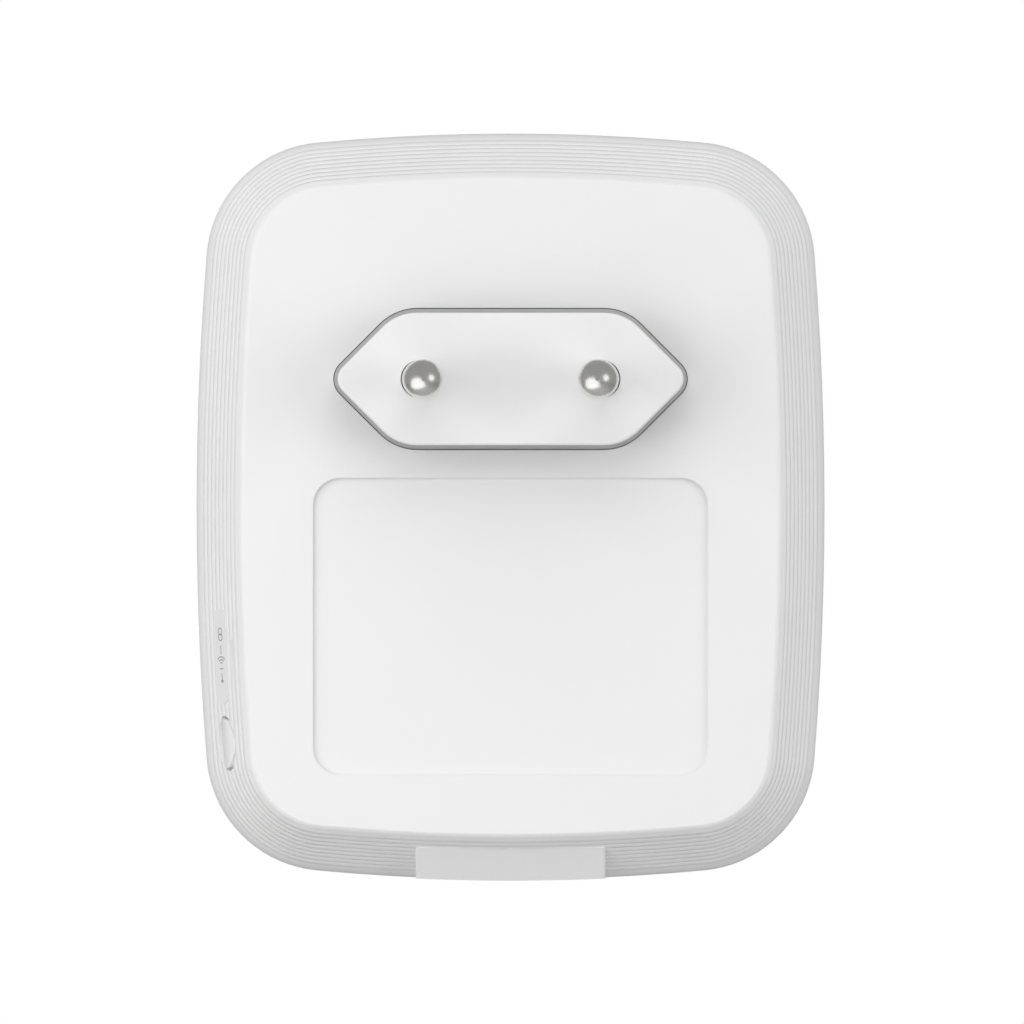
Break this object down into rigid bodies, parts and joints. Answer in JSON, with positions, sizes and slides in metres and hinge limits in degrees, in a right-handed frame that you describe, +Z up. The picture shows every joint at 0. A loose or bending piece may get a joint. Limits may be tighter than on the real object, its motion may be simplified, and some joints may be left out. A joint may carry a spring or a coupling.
{
  "type": "wifi range extender",
  "caption": "Plug-in wireless range extender: a rounded white casing with a ribbed rear edge, a hexagonal two-pin Euro plug, a side push button and a network socket below.",
  "frame": {"origin": "middle of the plug's engagement face, between the two pins", "axes": "+X to the right seen from behind, +Y from the wall into the room, +Z up along the casing's longest side"},
  "size_m": [0.065, 0.054, 0.0772],
  "materials": {
    "casing": "satin white moulding",
    "plug_moulding": "satin white moulding",
    "sleeve": "satin white insulation",
    "pin_metal": "nickel plated, polished",
    "key": "satin white moulding",
    "spring_metal": "rolled strip",
    "switch_case": "black moulding",
    "switch_stem": "natural moulding",
    "power_laminate": "bare paper laminate",
    "main_laminate": "green solder mask",
    "screw_steel": "zinc plated",
    "ferrite": "ground ferrite",
    "winding_tape": "yellow polyester tape",
    "bobbin_plastic": "black moulding",
    "copper_wire": "enamelled copper wire",
    "can_sleeve": "shrunk sleeve",
    "fuse_body": "ceramic tube with metal caps",
    "disc_ceramic": "blue dipped coating",
    "film_case": "yellow box",
    "chip_plastic": "black epoxy",
    "opto_plastic": "white epoxy",
    "header_plastic": "black moulding",
    "header_pins": "gold flashed",
    "port_plastic": "black moulding",
    "tinned_sheet": "tinned sheet",
    "contact_gold": "gold plated",
    "pad_silicone": "soft filled silicone",
    "spreader_metal": "anodised sheet",
    "insulating_film": "polyester film",
    "led_lens": "phosphor coated",
    "clear_plastic": "clear acrylic",
    "aerial_laminate": "black solder mask",
    "coax_jacket": "fluoropolymer jacket"
  },
  "bodies": {
    "casing": {"rear_cover": "casing", "front_cover": "casing", "plug_insert": "plug_moulding", "pin_sleeve_live": "sleeve", "pin_sleeve_neutral": "sleeve", "pin_live": "pin_metal", "pin_neutral": "pin_metal", "contact_spring_live": "spring_metal", "contact_spring_neutral": "spring_metal", "switch_body": "switch_case", "power_board": "power_laminate", "main_board": "main_laminate", "power_screws": "screw_steel", "main_screws": "screw_steel", "transformer_core": "ferrite", "choke_core": "ferrite", "transformer_winding": "winding_tape", "transformer_bobbin": "bobbin_plastic", "choke_winding": "copper_wire", "bulk_capacitor_left": "can_sleeve", "bulk_capacitor_right": "can_sleeve", "output_capacitor": "can_sleeve", "fuse": "fuse_body", "varistor": "disc_ceramic", "safety_capacitor": "disc_ceramic", "filter_capacitor": "film_case", "bridge_rectifier": "chip_plastic", "power_controller": "chip_plastic", "output_diode": "chip_plastic", "line_transformer": "chip_plastic", "flash_memory": "chip_plastic", "radio_chip": "chip_plastic", "memory_chip": "chip_plastic", "power_inductor": "chip_plastic", "optocoupler": "opto_plastic", "board_link": "header_plastic", "link_pins": "header_pins", "port_housing": "port_plastic", "port_shield": "tinned_sheet", "shield_can": "tinned_sheet", "clock_crystal": "tinned_sheet", "port_contacts": "contact_gold", "aerial_plug_left": "contact_gold", "aerial_plug_right": "contact_gold", "thermal_pad": "pad_silicone", "heat_spreader": "spreader_metal", "insulation_sheet": "insulating_film", "status_leds": "led_lens", "light_guide": "clear_plastic", "aerial_left": "aerial_laminate", "aerial_right": "aerial_laminate", "aerial_lead_left": "coax_jacket", "aerial_lead_right": "coax_jacket"},
    "pair_button": {"pair_button": "key"},
    "switch_plunger": {"switch_plunger": "switch_stem"}
  },
  "joints": [
    {"name": "button_press", "type": "slide", "parent": "casing", "child": "pair_button", "axis": [1, 0, 0], "range_m": [0, 0.0003], "stiffness_N_per_m": 1500, "springref_m": -0.0002},
    {"name": "plunger_press", "type": "slide", "parent": "casing", "child": "switch_plunger", "axis": [1, 0, 0], "range_m": [0, 0.0003]}
  ],
  "couplings": [
    {"joint": "plunger_press", "follows": "button_press", "ratio": 1}
  ]
}
